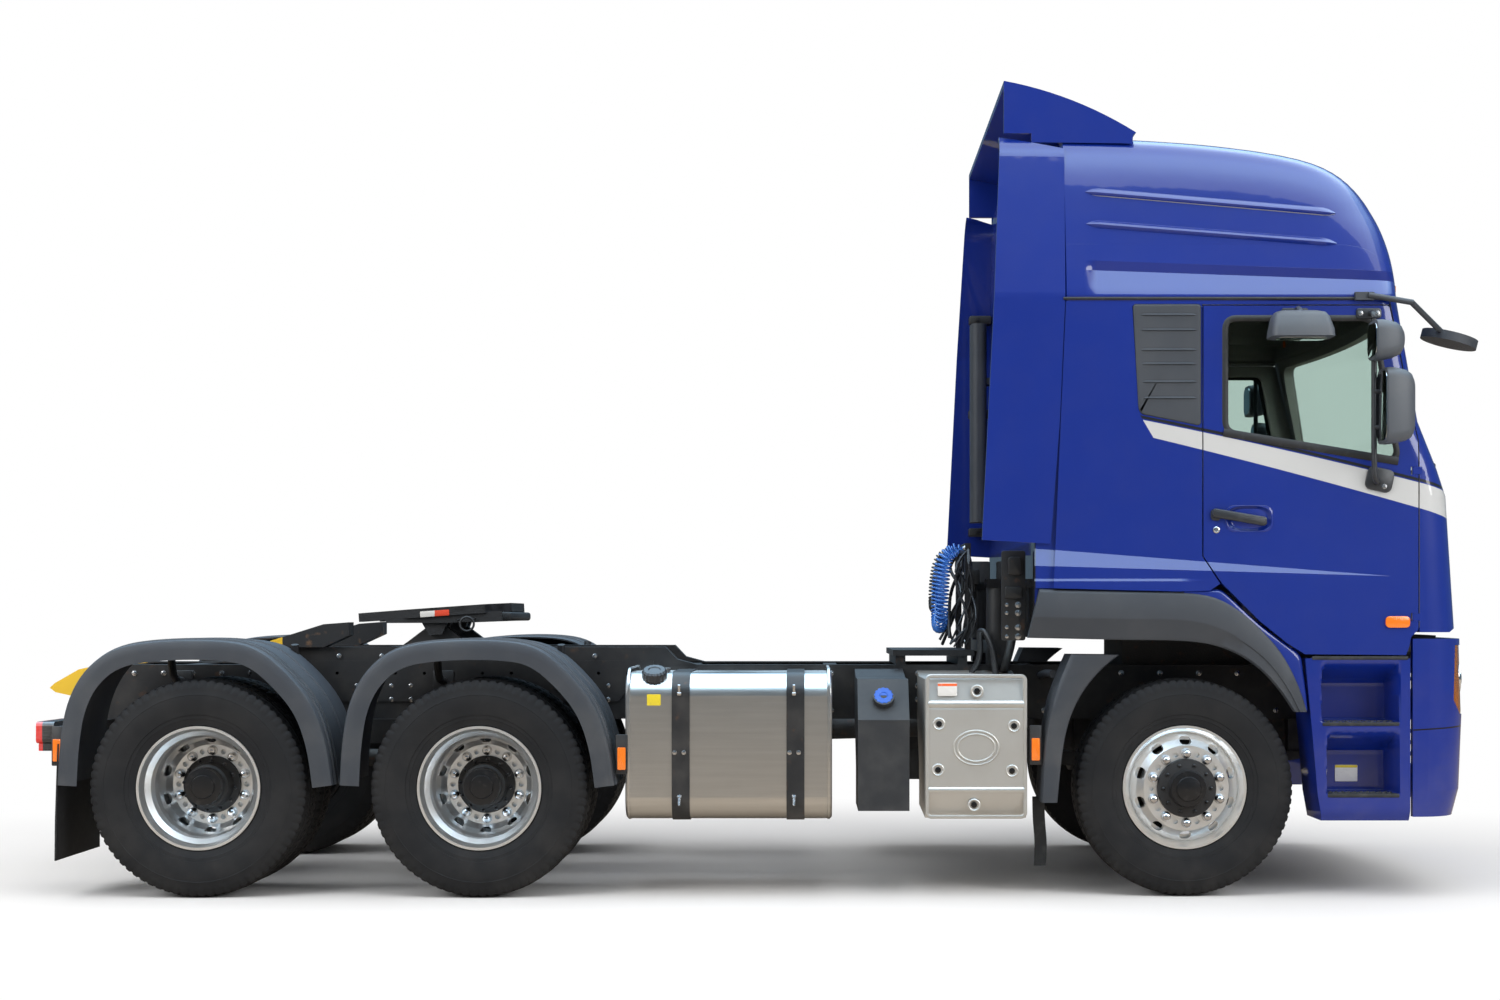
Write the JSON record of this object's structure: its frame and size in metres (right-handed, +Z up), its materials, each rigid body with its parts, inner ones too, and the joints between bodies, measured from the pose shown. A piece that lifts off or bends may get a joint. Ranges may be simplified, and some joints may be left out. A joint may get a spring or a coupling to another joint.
{
  "type": "semi truck tractor unit",
  "caption": "Cab-over tractor unit with high-roof sleeper cab, twin drive axles, fifth wheel, opening doors, tilting cab, steering and free-rolling wheels.",
  "frame": {"origin": "on the ground, under the middle of the truck's overall length and width", "axes": "+X forward along the truck, +Y to the truck's left, +Z up"},
  "size_m": [7.222, 3, 3.955],
  "materials": {
    "blue_paint": "gloss",
    "dark_plastic": "grained",
    "black_steel": "satin",
    "alloy": "polished",
    "tyre": "matt",
    "cast": "matt",
    "tank_metal": "brushed",
    "yellow_paint": "satin",
    "silver_paint": "satin",
    "lamp": "clear",
    "signal": "clear",
    "glass": "clear",
    "interior": "grained",
    "cloth": "woven",
    "line_blue": "satin",
    "line_black": "satin"
  },
  "bodies": {
    "chassis": {"frame_rails": "black_steel", "crossmembers": "black_steel", "subframe": "black_steel", "loading_ramps": "yellow_paint", "front_axle_beam": "cast", "leaf_springs": "black_steel", "driveline": "cast", "engine": "cast", "fuel_tank": "tank_metal", "tank_straps": "black_steel", "urea_tank": "dark_plastic", "exhaust_box": "silver_paint", "battery_box": "dark_plastic", "air_tanks": "black_steel", "rear_mudguards": "dark_plastic", "tail_lamps": "signal", "front_mudguards": "dark_plastic", "bumper": "blue_paint", "headlamps": "lamp", "entry_steps": "blue_paint", "catwalk": "black_steel", "air_line": "line_blue", "electric_line": "line_black", "cab_mounts": "black_steel"},
    "cab": {"cab_roof": "blue_paint", "cab_front": "blue_paint", "windshield": "glass", "cab_sides": "blue_paint", "cab_rear_wall": "blue_paint", "cab_floor": "interior", "side_fairings": "blue_paint", "roof_spoiler": "blue_paint", "cab_trims": "dark_plastic", "seats": "cloth", "bunk": "cloth", "dashboard": "interior", "steering_wheel": "dark_plastic", "front_mirror": "dark_plastic", "intake_stack": "dark_plastic"},
    "right_door": {"door_right": "blue_paint", "window_right": "glass", "mirrors_right": "dark_plastic"},
    "left_door": {"door_left": "blue_paint", "window_left": "glass", "mirrors_left": "dark_plastic"},
    "coupling_plate": {"fifth_wheel_plate": "cast"},
    "right_knuckle": {"knuckle_right": "cast"},
    "left_knuckle": {"knuckle_left": "cast"},
    "front_right_wheel": {"front_wheel_right": "alloy", "front_tyre_right": "tyre"},
    "front_left_wheel": {"front_wheel_left": "alloy", "front_tyre_left": "tyre"},
    "middle_right_wheels": {"middle_wheels_right": "alloy", "middle_tyres_right": "tyre"},
    "middle_left_wheels": {"middle_wheels_left": "alloy", "middle_tyres_left": "tyre"},
    "rear_right_wheels": {"rear_wheels_right": "alloy", "rear_tyres_right": "tyre"},
    "rear_left_wheels": {"rear_wheels_left": "alloy", "rear_tyres_left": "tyre"}
  },
  "joints": [
    {"name": "steer_left", "type": "hinge", "parent": "chassis", "child": "left_knuckle", "pos_m": [2.121, 0.89, 0.527], "axis": [0, 0, 1], "range_deg": [-38, 38]},
    {"name": "steer_right", "type": "hinge", "parent": "chassis", "child": "right_knuckle", "pos_m": [2.121, -0.89, 0.527], "axis": [0, 0, 1], "range_deg": [-38, 38]},
    {"name": "front_left_spin", "type": "hinge", "parent": "left_knuckle", "child": "front_left_wheel", "pos_m": [2.121, 1.02, 0.527], "axis": [0, 1, 0], "continuous": true},
    {"name": "front_right_spin", "type": "hinge", "parent": "right_knuckle", "child": "front_right_wheel", "pos_m": [2.121, -1.02, 0.527], "axis": [0, 1, 0], "continuous": true},
    {"name": "middle_right_spin", "type": "hinge", "parent": "chassis", "child": "middle_right_wheels", "pos_m": [-1.279, -0.92, 0.527], "axis": [0, 1, 0], "continuous": true},
    {"name": "middle_left_spin", "type": "hinge", "parent": "chassis", "child": "middle_left_wheels", "pos_m": [-1.279, 0.92, 0.527], "axis": [0, 1, 0], "continuous": true},
    {"name": "rear_right_spin", "type": "hinge", "parent": "chassis", "child": "rear_right_wheels", "pos_m": [-2.629, -0.92, 0.527], "axis": [0, 1, 0], "continuous": true},
    {"name": "rear_left_spin", "type": "hinge", "parent": "chassis", "child": "rear_left_wheels", "pos_m": [-2.629, 0.92, 0.527], "axis": [0, 1, 0], "continuous": true},
    {"name": "cab_tilt", "type": "hinge", "parent": "chassis", "child": "cab", "pos_m": [3.466, 0, 1.145], "axis": [0, 1, 0], "range_deg": [0, 50]},
    {"name": "door_right_swing", "type": "hinge", "parent": "cab", "child": "right_door", "pos_m": [3.196, -1.237, 2], "axis": [0, 0, 1], "range_deg": [0, 70]},
    {"name": "door_left_swing", "type": "hinge", "parent": "cab", "child": "left_door", "pos_m": [3.196, 1.237, 2], "axis": [0, 0, -1], "range_deg": [0, 70]},
    {"name": "plate_pitch", "type": "hinge", "parent": "chassis", "child": "coupling_plate", "pos_m": [-1.629, 0, 1.29], "axis": [0, 1, 0], "range_deg": [0, 15]}
  ],
  "couplings": [
    {"joint": "steer_right", "follows": "steer_left", "ratio": 1}
  ]
}
